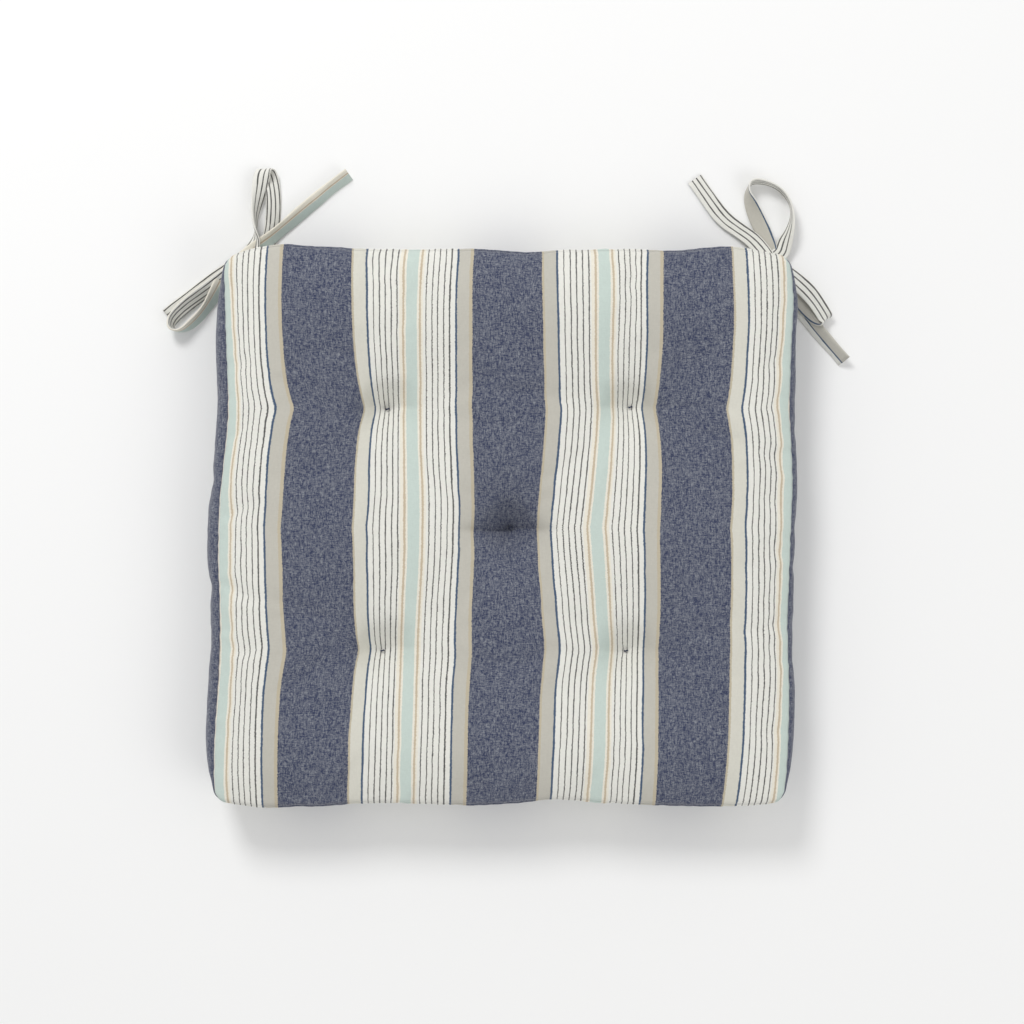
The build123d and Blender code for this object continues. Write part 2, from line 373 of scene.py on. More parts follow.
def cover_grid():
    verts, index, faces, mats, uvs = [], {}, [], [], []

    def vid(key, co):
        if key not in index:
            index[key] = len(verts)
            verts.append(co)
        return index[key]

    def xy(i, j):
        return GX[i, j], GY[i, j]

    def top(i, j):
        return vid(("t", i, j), (*xy(i, j), ZT))

    def under(i, j):
        return vid(("b", i, j), (*xy(i, j), ZB))

    def wall(k, i, j):
        if k == 0:
            return under(i, j)
        if k == NB:
            return top(i, j)
        return vid(("r", k, i, j), (*xy(i, j), ZB + (ZT - ZB) * k / NB))

    def face(corners, m, uv):
        faces.append(corners)
        mats.append(m)
        uvs.extend(uv)

    for i in range(NU):
        for j in range(NV):
            p = [xy(i, j), xy(i + 1, j), xy(i + 1, j + 1), xy(i, j + 1)]
            face((top(i, j), top(i + 1, j), top(i + 1, j + 1), top(i, j + 1)), 0, p)
            face((under(i, j), under(i, j + 1), under(i + 1, j + 1), under(i + 1, j)), 1, (p[0], p[3], p[2], p[1]))
    h = (ZT - ZB) / NB
    for k in range(NB):
        for i in range(NU):
            x0, x1 = RUN_FRONT[i], RUN_FRONT[i + 1]
            face((wall(k, i, 0), wall(k, i + 1, 0), wall(k + 1, i + 1, 0), wall(k + 1, i, 0)), 2,
                 ((x0, k * h), (x1, k * h), (x1, (k + 1) * h), (x0, (k + 1) * h)))
            face((wall(k, i + 1, NV), wall(k, i, NV), wall(k + 1, i, NV), wall(k + 1, i + 1, NV)), 3,
                 ((x1, k * h), (x0, k * h), (x0, (k + 1) * h), (x1, (k + 1) * h)))
        for j in range(NV):
            y0, y1 = RUN_SIDE[j], RUN_SIDE[j + 1]
            face((wall(k, 0, j + 1), wall(k, 0, j), wall(k + 1, 0, j), wall(k + 1, 0, j + 1)), 4,
                 ((k * h, y1), (k * h, y0), ((k + 1) * h, y0), ((k + 1) * h, y1)))
            face((wall(k, NU, j), wall(k, NU, j + 1), wall(k + 1, NU, j + 1), wall(k + 1, NU, j)), 5,
                 ((k * h, y0), (k * h, y1), ((k + 1) * h, y1), ((k + 1) * h, y0)))
    return np.array(verts), faces, np.array(mats), np.array(uvs), index


flat, faces, face_mats, face_uvs, index = cover_grid()
TOP = np.array([[index[("t", i, j)] for j in range(NV + 1)] for i in range(NU + 1)])
UNDER = np.array([[index[("b", i, j)] for j in range(NV + 1)] for i in range(NU + 1)])
EDGE = [(i, 0) for i in range(NU)] + [(NU, j) for j in range(NV)] + [(i, NV) for i in range(NU, 0, -1)] \
    + [(0, j) for j in range(NV, 0, -1)]
EI, EJ = np.array(EDGE).T
WALL = np.array([[index[("r", k, i, j)] for i, j in EDGE] for k in range(1, NB)])
is_top = np.zeros(len(flat), bool)
is_top[TOP.ravel()] = True
is_under = np.zeros(len(flat), bool)
is_under[UNDER.ravel()] = True
cover = add_mesh("cover", flat, faces, face_uvs)
cover.data.polygons.foreach_set("material_index", face_mats)

rng = np.random.default_rng(11)
start = flat.copy()
pins = []
for x, y in TUFTS:
    for sel, z, near in ((is_top, TOP_PIN, 0.019), (is_under, UNDER_PIN, 0.012)):
        d = np.hypot(flat[:, 0] - x, flat[:, 1] - y)
        d[~sel] = 9.0
        close = np.argsort(d)[:4]
        pull = np.exp(-(d / near) ** 2)
        start[:, 2] += (z - start[:, 2]) * pull * sel
        # the stitch gathers the cloth round it
        gather = np.exp(-(d / 0.045) ** 2) * sel * 0.10
        start[:, 0] += (x - start[:, 0]) * gather
        start[:, 1] += (y - start[:, 1]) * gather
        start[close, 0] = x + (flat[close, 0] - x) * 0.55
        start[close, 1] = y + (flat[close, 1] - y) * 0.35
        start[close, 2] = z
        pins += [int(i) for i in close]
start[:, 2] += rng.normal(0, 0.0003, len(start))

me = cover.data
me.vertices.foreach_set("co", start.ravel())
key_0 = cover.shape_key_add(name="Basis")
key_flat = cover.shape_key_add(name="flat")
key_flat.data.foreach_set("co", flat.ravel())
key_flat.value = 0.0
group = cover.vertex_groups.new(name="stitched")
group.add(pins, 1.0, "REPLACE")
cloth = cover.modifiers.new("cloth", "CLOTH")
cs = cloth.settings
cs.quality = 6
cs.mass = 0.3
cs.tension_stiffness, cs.compression_stiffness, cs.shear_stiffness, cs.bending_stiffness = 30, 12, 8, 0.35
cs.tension_damping = cs.compression_damping = cs.shear_damping = 5
cs.bending_damping = 0.5
cs.air_damping = 2.0
cs.use_pressure = True
cs.uniform_pressure_force = 4.0
cs.vertex_group_mass = "stitched"
cs.pin_stiffness = 1.0
cs.rest_shape_key = key_flat
cs.effector_weights.gravity = 0.0
cloth.collision_settings.use_collision = False
cloth.collision_settings.use_self_collision = False
FRAMES = 18
cloth.point_cache.frame_start, cloth.point_cache.frame_end = 1, FRAMES
for f in range(1, FRAMES + 1):
    scene.frame_set(f)
puffed = cover.evaluated_get(bpy.context.evaluated_depsgraph_get())
shape = coords(puffed.data)
print("puffed", shape.min(0).round(4), shape.max(0).round(4))
scene.frame_set(1)
cover.modifiers.clear()
cover.shape_key_clear()


# the filling is flatter than air: the crown and the belly are eased down, and the belly lies on the ground
def ease(d, knee, reach, room):
    over = np.maximum(d - knee, 0.0)
    top_over = reach - knee
    k = (room - knee) / top_over
    return np.where(d > knee, knee + over * (k + (1 - k) * np.exp(-over / (top_over * 0.35)) * 0.5), d)


mid = (ZT + ZB) / 2
up = shape[:, 2] - mid
reach_up = np.percentile(up[is_top], 99.7)
reach_down = np.percentile(-up[is_under], 99.0)
shape[:, 2] = np.where(up > 0, mid + ease(up, 0.012, reach_up, 0.0545 - mid), mid - ease(-up, 0.012, reach_down, mid + 0.003))

# the outline that the seams hold it to
LEFT_SEAM = ((-0.1813, -0.19277), (-0.15861, -0.19248), (-0.13994, -0.19173), (-0.12127, -0.19045), (-0.1026, -0.18903),
             (-0.0746, -0.18807), (-0.04794, -0.18831), (-0.02128, -0.18928), (0.01868, -0.18857), (0.04531, -0.18556),
             (0.07061, -0.18261), (0.08925, -0.18219), (0.11719, -0.18323), (0.15444, -0.18458), (0.17305, -0.18556),
             (0.18103, -0.18588))
LEFT_OUT = ((-0.18334, -0.19464), (-0.16985, -0.19704), (-0.15098, -0.19917), (-0.14155, -0.19936), (-0.11798, -0.19859),
            (-0.08971, -0.19742), (-0.07557, -0.19586), (-0.03519, -0.19716), (-0.01501, -0.19915), (0.01862, -0.1971),
            (0.04551, -0.19473), (0.0677, -0.1933), (0.08047, -0.19127), (0.09928, -0.19206), (0.12548, -0.19276),
            (0.15101, -0.1912), (0.16511, -0.18984), (0.17452, -0.18869), (0.18258, -0.18755))
RIGHT_SEAM = ((-0.18267, 0.19089), (-0.15581, 0.19288), (-0.11553, 0.19385), (-0.06184, 0.19245), (-0.02159, 0.19423),
              (0.00657, 0.19521), (0.03204, 0.19619), (0.05818, 0.19516), (0.07962, 0.19359), (0.1044, 0.19437),
              (0.13253, 0.19555), (0.15262, 0.19681), (0.16734, 0.19626), (0.18206, 0.19456))
RIGHT_OUT = ((-0.18473, 0.19384), (-0.17117, 0.19688), (-0.11692, 0.19989), (-0.0627, 0.19745), (-0.02205, 0.19945),
             (0.00639, 0.20024), (0.03212, 0.2011), (0.05851, 0.19998), (0.08626, 0.19988), (0.12008, 0.19965),
             (0.13698, 0.19963), (0.1478, 0.20098), (0.15727, 0.20198), (0.16876, 0.1996), (0.18362, 0.1972))
BACK_SEAM = ((-0.18741, 0.17936), (-0.17944, 0.18238), (-0.16949, 0.18553), (-0.15952, 0.18775), (-0.15089, 0.18911),
             (-0.14225, 0.1894), (-0.13096, 0.1881), (-0.10769, 0.18723), (-0.09837, 0.18613), (-0.05442, 0.18625),
             (-0.01441, 0.18649), (0.01965, 0.18392), (0.03903, 0.18598), (0.07917, 0.18689), (0.11736, 0.18539),
             (0.13278, 0.18724), (0.15291, 0.18877), (0.16231, 0.18799), (0.17171, 0.18601), (0.18044, 0.18436),
             (0.19658, 0.18207))
FRONT_SEAM = ((-0.19443, -0.18196), (-0.18646, -0.18332), (-0.17848, -0.18469), (-0.15787, -0.1871), (-0.1379, -0.18617),
              (-0.11725, -0.18625), (-0.10192, -0.1841), (-0.08458, -0.18403), (-0.04787, -0.18483), (-0.02114, -0.18593),
              (0.01231, -0.18471), (0.02904, -0.18196), (0.04579, -0.18215), (0.0659, -0.18457), (0.09945, -0.18603),
              (0.13303, -0.18716), (0.16666, -0.18661), (0.18348, -0.18533), (0.19695, -0.18269))


def side(marks):
    """A side of the outline: place along it, and plan position there, in metres."""
    return np.array([m[0] for m in marks]), np.array([m[1] for m in marks])


L_S, R_S = side(LEFT_SEAM), side(RIGHT_SEAM)
L_O, R_O = side(LEFT_OUT), side(RIGHT_OUT)
B_S, F_S = side(BACK_SEAM), side(FRONT_SEAM)


def smooth_interp(x, table, soft=0.006):
    out = 0
    for o, w in ((-soft, 0.25), (0, 0.5), (soft, 0.25)):
        out = out + w * np.interp(x + o, *table)
    return out


def outline(x, y):
    s, t = x / (W0 / 2), y / (D0 / 2)
    px, py = x, y
    left, right = smooth_interp(py, L_S), smooth_interp(py, R_S)
    nx = left + (right - left) * (s + 1) / 2
    back, front = smooth_interp(nx, B_S), smooth_interp(nx, F_S)
    ny = front + (back - front) * (t + 1) / 2
    return nx, ny


def carry(D, fixed, rounds=500, keep=0.997):
    """A displacement known on some of the grid, carried smoothly over the rest."""
    known = D.copy()
    for _ in range(rounds):
        P = np.pad(D, ((1, 1), (1, 1), (0, 0)), mode="edge")
        D = keep * (P[:-2, 1:-1] + P[2:, 1:-1] + P[1:-1, :-2] + P[1:-1, 2:]) / 4
        D[fixed] = known[fixed]
    return D


rim = np.zeros((NU + 1, NV + 1), bool)
rim[0, :] = rim[-1, :] = rim[:, 0] = rim[:, -1] = True
fx, fy = flat[:, 0], flat[:, 1]
old_top, old_under = shape[TOP].copy(), shape[UNDER].copy()
T, B = shape[TOP], shape[UNDER]
ox, oy = outline(GX, GY)
D = np.zeros_like(T)
D[rim, 0], D[rim, 1] = (ox - T[..., 0])[rim], (oy - T[..., 1])[rim]
D[rim, 2] = ((0.0430 - T[..., 2]) * 0.8)[rim]
fixed = rim.copy()
for (tx, ty) in TUFTS:
    i, j = np.unravel_index(np.argmin(np.hypot(GX - tx, GY - ty)), GX.shape)
    D[i, j] = (tx - T[i, j, 0], ty - T[i, j, 1], 0)
    fixed[i, j] = True
shape[TOP] = T + carry(D, fixed)
D = np.zeros_like(B)
D[rim, 0], D[rim, 1] = (ox * 0.985 - B[..., 0])[rim], (oy * 0.985 - B[..., 1])[rim]
D[rim, 2] = ((0.0118 - B[..., 2]) * 0.8)[rim]
shape[UNDER] = B + carry(D, rim, keep=0.99)

# the boxing: a bulge between the seams, and some of the simulated wrinkles
top_s, under_s = shape[TOP[EI, EJ]], shape[UNDER[EI, EJ]]
old_t, old_u = old_top[EI, EJ], old_under[EI, EJ]
dx, dy = GX[EI, EJ] / (W0 / 2), GY[EI, EJ] / (D0 / 2)
out = np.stack([np.sign(dx) * np.abs(dx) ** 14, np.sign(dy) * np.abs(dy) ** 14, 0 * dx], 1)
out /= np.maximum(np.linalg.norm(out, axis=1), 1e-9)[:, None]
yy, xx = top_s[:, 1], top_s[:, 0]
on_left = smooth_interp(yy, L_S) - smooth_interp(yy, L_O)
on_right = smooth_interp(yy, R_O) - smooth_interp(yy, R_S)
bulge = np.where(np.abs(out[:, 0]) > 0.5, np.where(out[:, 0] < 0, on_left, on_right), 0.0010)
# a vertical wall below the seam is hidden from above, so a bulge counts from there
bulge = np.where(np.abs(out[:, 0]) > 0.5, np.maximum(bulge, 0.0015), bulge)
to_corner = np.minimum(W0 / 2 - np.abs(GX[EI, EJ]) + D0 / 2 - np.abs(GY[EI, EJ]), 0.05)
bulge *= np.clip(0.25 + to_corner / 0.030, 0, 1)
for _ in range(6):
    bulge = (np.roll(bulge, 1) + 2 * bulge + np.roll(bulge, -1)) / 4
for k in range(1, NB):
    t = k / NB
    line = under_s + (top_s - under_s) * t
    line_old = old_u + (old_t - old_u) * t
    wrinkle = (shape[WALL[k - 1]] - line_old)
    wrinkle_out = (wrinkle * out).sum(1)
    wrinkle_out -= np.convolve(np.concatenate([wrinkle_out[-12:], wrinkle_out, wrinkle_out[:12]]), np.ones(25) / 25, "valid")
    prof = (4 * t * (1 - t)) ** 0.75
    shape[WALL[k - 1]] = line + out * (bulge * prof + 0.45 * wrinkle_out)[:, None]

# under: flat on the ground, and rising to the seam all round as the filling thins
BELLY = ((0, 0.012), (0.018, 0.0094), (0.034, 0.0050), (0.050, 0.0010), (0.062, 0.0))
edge_d = np.minimum(W0 / 2 - np.abs(GX), D0 / 2 - np.abs(GY))
corner = np.hypot(np.maximum(np.abs(GX) - (W0 / 2 - 0.05), 0), np.maximum(np.abs(GY) - (D0 / 2 - 0.05), 0))
edge_d = np.minimum(edge_d, np.maximum(0.05 - corner, 0))
belly = np.interp(edge_d, *zip(*BELLY))
uz = shape[UNDER][..., 2]
s = 0.0012
uz = belly + s * np.log1p(np.exp(np.clip((uz - belly) / s, -30, 30))) * 0.8
shape[UNDER.ravel(), 2] = np.maximum(uz.ravel(), 0.0002)
shape[:, 2] = np.maximum(shape[:, 2], 0.0002)

# creases that run out from the stitches: ends in plan, depth, half width
CREASES = (((0.00356, -0.00136), (-0.02914, -0.00134), 6.6, 3.0), ((0.00823, -0.00136), (0.03763, -0.00124), 6.6, 3.0),
           ((0.0059, -0.00069), (0.0069, -0.0334), 2.2, 2.2), ((0.00489, 0.00398), (0.00356, 0.03868), 1.2, 3.0),
           ((-0.0784, 0.08063), (-0.09969, 0.08393), 1.8, 2.8), ((-0.07574, 0.07996), (-0.04778, 0.07999), 2.0, 2.4),
           ((0.08375, 0.08012), (0.06034, 0.08009), 1.9, 2.6), ((0.08843, 0.08012), (0.1541, 0.07951), 1.6, 2.6),
           ((-0.13156, 0.11782), (-0.09568, 0.11322), 1.3, 2.2), ((-0.11698, 0.07194), (-0.09304, 0.07728), 1.2, 2.4),
           ((-0.14498, -0.05856), (-0.11574, -0.06127), 1.2, 2.2), ((-0.07848, -0.082), (-0.05182, -0.08005), 1.9, 2.4),
           ((-0.08247, -0.08199), (-0.10777, -0.08795), 1.6, 2.8), ((0.08248, -0.08297), (0.06039, -0.08159), 1.7, 2.6),
           ((0.08717, -0.08298), (0.15154, -0.0831), 1.5, 2.6), ((-0.16811, 0.06924), (-0.15816, 0.06525), 0.7, 2.2),
           ((-0.17949, -0.0412), (-0.1649, -0.04655), 0.7, 2.2), ((-0.07915, -0.08467), (-0.07982, -0.10802), 0.8, 2.6),
           ((0.08516, -0.08565), (0.0845, -0.1084), 0.8, 2.6), ((-0.07707, 0.08263), (-0.0764, 0.10393), 0.8, 2.6),
           ((0.08576, 0.08346), (0.08575, 0.10549), 0.8, 2.6))
def fold(x, y, deep, back, front):
    """How far the creases draw the cloth down at points in plan."""
    dz = np.zeros_like(x)
    for a, b, depth, wide in CREASES:
        A, Bp = np.array(a), np.array(b)
        L = np.linalg.norm(Bp - A)
        e = (Bp - A) / L
        qx, qy = x - A[0], y - A[1]
        t = (qx * e[0] + qy * e[1]) / L
        n = np.array([-e[1], e[0]])
        n = n if n[1] - 0.3 * n[0] > 0 else -n
        off = qx * n[0] + qy * n[1]
        near = (np.abs(off) < 0.001) & (t > 0) & (t < 1)
        if deep > 0.5 and near.any():
            off = off - np.median(off[near])   # the fold runs along a thread of the cloth
        fade = np.clip(1 - t, 0, 1) ** 0.45 * np.clip(1 + t * L / 0.004, 0, 1)
        dz += deep * depth * MM * fade * np.where(off > 0, np.exp(-off / (back * wide * MM)), np.exp(off / (front * wide * MM)))
    return dz


shape[TOP.ravel(), 2] -= fold(shape[TOP][..., 0], shape[TOP][..., 1], 0.45, 1.3, 0.8).ravel()
print("shaped", shape.min(0).round(4), shape.max(0).round(4))
me.vertices.foreach_set("co", shape.ravel())
me.update()

# the stripes run a little askew, and the panel was cut a little off their centre
SHIFT, LEAN = 0.0064, 0.0085
uv = face_uvs.copy()
loop_mat = np.repeat(face_mats, 4)
plan = np.isin(loop_mat, (0, 1, 2, 3))
lean = np.where(np.isin(loop_mat, (0, 1)), uv[:, 1], np.where(loop_mat == 3, D0 / 2, -D0 / 2))
uv[plan, 0] += SHIFT - LEAN * lean[plan]
# how far the stitches and the filling draw the cloth sideways, in mm, at each stripe edge from left to right:
# a steady part, its change along the pad, and a sharp pull in line with each row of stitches
PULL = ((-179.8, 2.4, -2.96, -2.63, -1.02, 1.71, -0.14, 1.05),
        (-144.5, 4.38, -0.57, -5.05, -2.15, 6.34, -1.7, 2.82),
        (-97.7, 4.97, 0.14, -4.9, -3.43, 9.41, -2.21, 5.7),
        (-60.0, 5.88, 0.69, -5.12, -1.88, 0.51, -0.34, 0.16),
        (-19.8, 5.49, 0.89, -4.25, -2.67, -0.03, -0.94, 2.02),
        (26.2, 4.3, 1.53, -2.23, -4.05, 1.72, -1.56, 3.27),
        (66.3, 4.52, 0.94, -1.33, -2.43, 2.15, -2.39, 3.11),
        (104.6, 5.26, 0.71, -1.74, -1.84, -5.23, -1.33, -0.74),
        (151.0, 5.1, 0.24, -2.01, -0.61, -4.31, -2.29, 0.73),
        (186.3, 3.31, -2.03, 0.72, 1.83, -3.41, -1.28, 0.72))


def sideways(x, y):
    x, y = x * 1000, y * 1000
    terms = [np.ones_like(y), y / 190, (y / 190) ** 2, (y / 190) ** 3] + [np.exp(-np.abs(y - c) / 19.0) for c in (79.5, 0.0, -82.0)]
    at_edge = np.stack([sum(c * t for c, t in zip(row[1:], terms)) for row in PULL], 1)
    xs = np.array([row[0] for row in PULL])
    k = np.clip(np.searchsorted(xs, x) - 1, 0, len(xs) - 2)
    f = np.clip((x - xs[k]) / (xs[k + 1] - xs[k]), 0, 1)
    rows = np.arange(len(x))
    return (at_edge[rows, k] * (1 - f) + at_edge[rows, k + 1] * f) * MM


loop_v = np.concatenate([np.asarray(f) for f in faces])
uv[plan, 0] -= sideways(shape[loop_v, 0], shape[loop_v, 1])[plan]
me.uv_layers["fabric"].data.foreach_set("uv", uv.ravel())

fill_shape = shape.copy()
flat_uv = face_uvs.copy()
plain = me.uv_layers.new(name="plain")
plain.data.foreach_set("uv", flat_uv.ravel())
sub = cover.modifiers.new("smooth", "SUBSURF")
sub.levels = sub.render_levels = 1
sub.uv_smooth = "PRESERVE_BOUNDARIES"
active(cover)
bpy.ops.object.modifier_apply(modifier="smooth")
me = cover.data
co = coords(me)
n_loops = len(me.loops)
lv = np.empty(n_loops, dtype=np.int64)
me.loops.foreach_get("vertex_index", lv)
pm = np.empty(len(me.polygons), dtype=np.int64)
me.polygons.foreach_get("material_index", pm)


def uvs_of(name):
    a = np.empty(n_loops * 2)
    me.uv_layers[name].data.foreach_get("uv", a)
    return a.reshape(-1, 2)


uv, uv0 = uvs_of("fabric"), uvs_of("plain")
lm = np.repeat(pm, 4)
nrm = np.empty(len(me.vertices) * 3)
me.vertices.foreach_get("normal", nrm)
nrm = nrm.reshape(-1, 3)

# how far each vertex is from its nearest seam, along the cloth
far = np.full(len(co), 9.0)
edge = np.minimum(W0 / 2 - np.abs(uv0[:, 0]), D0 / 2 - np.abs(uv0[:, 1]))
cx_, cy_ = np.abs(uv0[:, 0]) - (W0 / 2 - ROUND), np.abs(uv0[:, 1]) - (D0 / 2 - ROUND)
in_corner = (cx_ > 0) & (cy_ > 0)
edge = np.where(in_corner, ROUND - np.hypot(cx_, cy_), edge)
rise = np.where(np.isin(lm, (2, 3)), uv0[:, 1], uv0[:, 0])
wall_edge = np.minimum(rise, (ZT - ZB) - rise)
np.minimum.at(far, lv, np.where(np.isin(lm, (0, 1)), edge, wall_edge))
far = np.maximum(far, 0)
along = np.where(np.abs(co[:, 0]) / 0.200 > np.abs(co[:, 1]) / 0.190, co[:, 1], co[:, 0])


def ripple(t, seed, waves=((0.011, 1.0), (0.0073, 0.7), (0.019, 0.8))):
    r = np.random.default_rng(seed)
    return sum(a * np.sin(2 * np.pi * t / w + r.uniform(0, 6.28) + 1.5 * np.sin(t * 31 + r.uniform(0, 6.28)))
               for w, a in waves) / 2.5


# the seam draws the cloth in, and puckers it
top_half = co[:, 2] > 0.028
on_top = np.zeros(len(co), bool)
on_top[lv[lm == 0]] = True
on_top[lv[lm != 0]] = False
co[on_top, 2] -= fold(co[on_top, 0], co[on_top, 1], 0.75, 0.95, 0.25)
pucker = np.where(top_half, ripple(along, 3), ripple(along, 8)) * np.exp(-far / 0.0075) * 0.00034
groove = -0.0008 * np.exp(-(far / 0.0017) ** 2)
co += nrm * (pucker + groove)[:, None]
co[:, 2] = np.maximum(co[:, 2], 0.0002)
me.vertices.foreach_set("co", co.ravel())
me.update()

# one piece of cloth for each panel, a real sheet 0.8 mm thick
PANELS = ["top_panel", "bottom_panel", "boxing_front", "boxing_back", "boxing_left", "boxing_right"]
poly_v = lv.reshape(-1, 4)
poly_uv = uv.reshape(-1, 4, 2)
pieces = {}
for k, node in enumerate(PANELS):
    sel = pm == k
    used, inv = np.unique(poly_v[sel], return_inverse=True)
    ob = add_mesh("cover_" + node, co[used], inv.reshape(-1, 4), poly_uv[sel].reshape(-1, 2))
    ob.data.materials.append(MAT_NAVY if k >= 4 else MAT_STRIPE)
    thick = ob.modifiers.new("cloth", "SOLIDIFY")
    thick.thickness = 0.0008
    thick.offset = -1.0
    active(ob)
    bpy.ops.object.modifier_apply(modifier="cloth")
    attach(ob, "pad")
    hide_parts(node)
    pieces[node] = ob

# filling: the same shape, set in from the cloth
under_fold = fold(shape[TOP.ravel(), 0], shape[TOP.ravel(), 1], 0.8, 1.8, 1.8)
for tx, ty in TUFTS:
    under_fold += 0.0022 * np.exp(-((shape[TOP.ravel(), 0] - tx) ** 2 + (shape[TOP.ravel(), 1] - ty) ** 2) / 0.007 ** 2)
fill_shape[TOP.ravel(), 2] -= under_fold
me_f = bpy.data.meshes.new("filling")
fill_ob = link(bpy.data.objects.new("filling", me_f))
me_f.from_pydata([tuple(v) for v in fill_shape], [], faces)
me_f.update()
fn = np.empty(len(fill_shape) * 3)
me_f.vertices.foreach_get("normal", fn)
me_f.vertices.foreach_set("co", (fill_shape - fn.reshape(-1, 3) * 0.0034).ravel())
me_f.polygons.foreach_set("use_smooth", [True] * len(me_f.polygons))
me_f.update()
fill_ob.data.materials.append(MAT_FIBRE)
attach(fill_ob, "pad")
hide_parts("fibre_filling")
bpy.data.objects.remove(cover)


# ------------------------------------------------------------------ tuft twines
def tube(points, radius, sides=8, closed=False, twist=0.0):
    """Rings of a tube round a line of points, as (verts, faces)."""
    P = np.asarray(points, float)
    n = len(P)
    nxt = np.roll(P, -1, 0) if closed else np.vstack([P[1:], 2 * P[-1:] - P[-2:-1]])
    prv = np.roll(P, 1, 0) if closed else np.vstack([2 * P[:1] - P[1:2], P[:-1]])
    T = nxt - prv
    T /= np.linalg.norm(T, axis=1)[:, None]
    up = np.array([0.0, 1.0, 0.0]) if abs(T[0][1]) < 0.9 else np.array([1.0, 0.0, 0.0])
    verts, faces = [], []
    for i in range(n):
        a = up - T[i] * (up @ T[i])
        a /= np.linalg.norm(a)
        b = np.cross(T[i], a)
        up = a
        for k in range(sides):
            t = 2 * math.pi * k / sides + twist * i
            r = radius * (1 + 0.12 * math.cos(2 * (t)))
            verts.append(P[i] + r * (math.cos(t) * a + math.sin(t) * b))
    rings = n if closed else n - 1
    for i in range(rings):
        j = (i + 1) % n
        for k in range(sides):
            m = (k + 1) % sides
            faces.append((i * sides + k, i * sides + m, j * sides + m, j * sides + k))
    if not closed:
        faces.append(tuple(range(sides))[::-1])
        faces.append(tuple(range((n - 1) * sides, n * sides)))
    return verts, faces


def cloth_height(x, y, top):
    """Height of the cover's outer face over a point."""
    from_above = pieces["top_panel" if top else "bottom_panel"]
    v = coords(from_above.data)
    d = np.hypot(v[:, 0] - x, v[:, 1] - y)
    close = v[np.argsort(d)[:24], 2]
    return close.max() if top else close.min()


tv, tf = [], []
pinned = shape[pins].reshape(-1, 4, 3).mean(1)
for t in range(len(TUFTS)):
    cx, cy = pinned[2 * t][:2]
    bx, by = pinned[2 * t + 1][:2]
    hi_z = cloth_height(cx, cy, True) - 0.0004
    lo_z = max(cloth_height(bx, by, False) - 0.0002, 0.0012)
    w = 0.0010
    pts = []
    for s_ in np.linspace(-1, 1, 9):
        pts.append((cx + w * s_, cy + 0.0004 * s_, hi_z + 0.0007 * (1 - s_ ** 2)))
    for s_ in np.linspace(0.08, 0.92, 10):
        pts.append((cx + w + (bx - cx) * s_, cy + (by - cy) * s_, hi_z + (lo_z - hi_z) * s_))
    for s_ in np.linspace(1, -1, 7):
        pts.append((bx + w * s_, by, lo_z - 0.0004 * (1 - s_ ** 2)))
    for s_ in np.linspace(0.92, 0.08, 10):
        pts.append((cx - w + (bx - cx) * s_, cy + (by - cy) * s_, hi_z + (lo_z - hi_z) * s_))
    v, f = tube(pts, 0.00045, closed=True, twist=0.5)
    tf += [tuple(i + len(tv) for i in q) for q in f]
    tv += v
twines = add_mesh("twines", tv, tf)
twines.data.materials.append(MAT_TWINE)
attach(twines, "pad")
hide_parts("tuft_twines")


# ------------------------------------------------------------------ ties
def nurbs(points):
    """The smooth line of a route: a NURBS spline with the route's points as its control points."""
    cu = bpy.data.curves.new("route", "CURVE")
    cu.dimensions = "3D"
    cu.resolution_u = 10
    sp = cu.splines.new("NURBS")
    sp.points.add(len(points) - 1)
    for p, q in zip(sp.points, points):
        p.co = (*q, 1.0)
    sp.order_u = 3
    sp.use_endpoint_u = True
    ob = bpy.data.objects.new("route", cu)
    link(ob)
    line = bpy.data.meshes.new_from_object(ob)
    out = coords(line)
    bpy.data.objects.remove(ob)
    bpy.data.curves.remove(cu)
    bpy.data.meshes.remove(line)
    return out


TIE_W, TIE_T = 0.011, 0.0015


